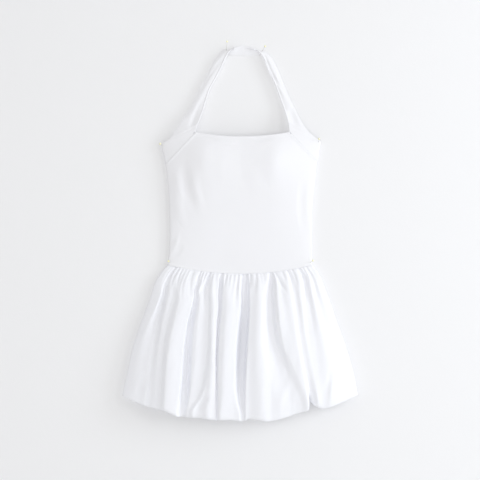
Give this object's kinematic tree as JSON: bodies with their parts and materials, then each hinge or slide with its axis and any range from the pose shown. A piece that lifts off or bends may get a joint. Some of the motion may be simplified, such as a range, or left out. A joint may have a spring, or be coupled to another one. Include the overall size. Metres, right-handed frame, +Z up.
{
  "type": "halter mini dress on wall pins",
  "caption": "White sleeveless halter mini dress with a square neck, smooth knit bodice, curved drop waist and gathered bubble skirt, pinned flat to a wall",
  "frame": {"origin": "midway between the two neck pins, on the plane of the wall that the dress hangs against", "axes": "+Z up the dress, -Y out of the wall towards the viewer, +X to the viewer's right; the wall is the plane y = 0"},
  "size_m": [0.529, 0.0665, 0.8506],
  "materials": {
    "jersey": "smooth double knit, matt",
    "poplin": "crisp plain weave, matt",
    "pin": "glossy yellow ball head on a bright steel shaft"
  },
  "bodies": {
    "root": {"front_bodice": "jersey", "back_bodice": "jersey", "halter_left": "jersey", "halter_right": "jersey", "front_skirt": "poplin", "back_skirt": "poplin", "hem_casing": "poplin", "pin_neck_left": "pin", "pin_neck_right": "pin", "pin_underarm_left": "pin", "pin_underarm_right": "pin", "pin_waist_left": "pin", "pin_waist_right": "pin"}
  },
  "joints": []
}
